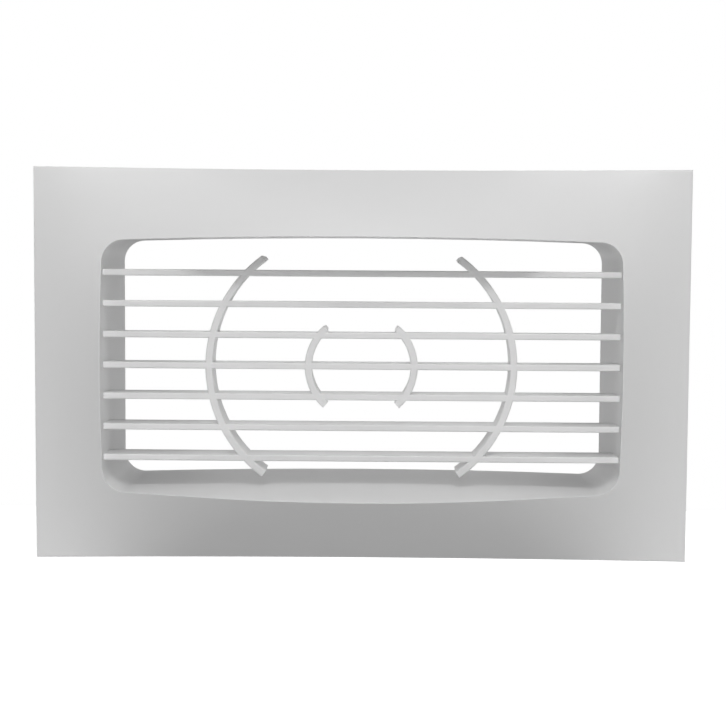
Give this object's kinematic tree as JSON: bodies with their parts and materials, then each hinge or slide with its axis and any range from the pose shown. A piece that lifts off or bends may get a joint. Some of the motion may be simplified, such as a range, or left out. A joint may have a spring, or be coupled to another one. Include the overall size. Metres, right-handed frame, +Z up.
{
  "type": "louvred air grille",
  "caption": "Fixed louvred air grille with a domed rectangular face, a rounded sleeve for a flat duct, and level louvres tied together by curved ribs.",
  "frame": {"origin": "centre of the sleeve in the wall plane, where the plate's back edge meets the wall", "axes": "+X to the right as seen from the room, +Y into the wall along the sleeve, +Z up"},
  "size_m": [0.15, 0.0533, 0.09],
  "materials": {
    "face_plastic": "satin",
    "sleeve_plastic": "satin",
    "louvre_plastic": "satin"
  },
  "bodies": {
    "root": {"face_plate": "face_plastic", "duct_sleeve": "sleeve_plastic", "louvre_1": "louvre_plastic", "louvre_2": "louvre_plastic", "louvre_3": "louvre_plastic", "louvre_4": "louvre_plastic", "louvre_5": "louvre_plastic", "louvre_6": "louvre_plastic", "louvre_7": "louvre_plastic", "rib_outer_left": "louvre_plastic", "rib_outer_right": "louvre_plastic", "rib_inner_left": "louvre_plastic", "rib_inner_right": "louvre_plastic", "web_top_left": "face_plastic", "web_top_middle": "face_plastic", "web_top_right": "face_plastic", "web_bottom_left": "face_plastic", "web_bottom_middle": "face_plastic", "web_bottom_right": "face_plastic", "web_side_left": "face_plastic", "web_side_right": "face_plastic"}
  },
  "joints": []
}
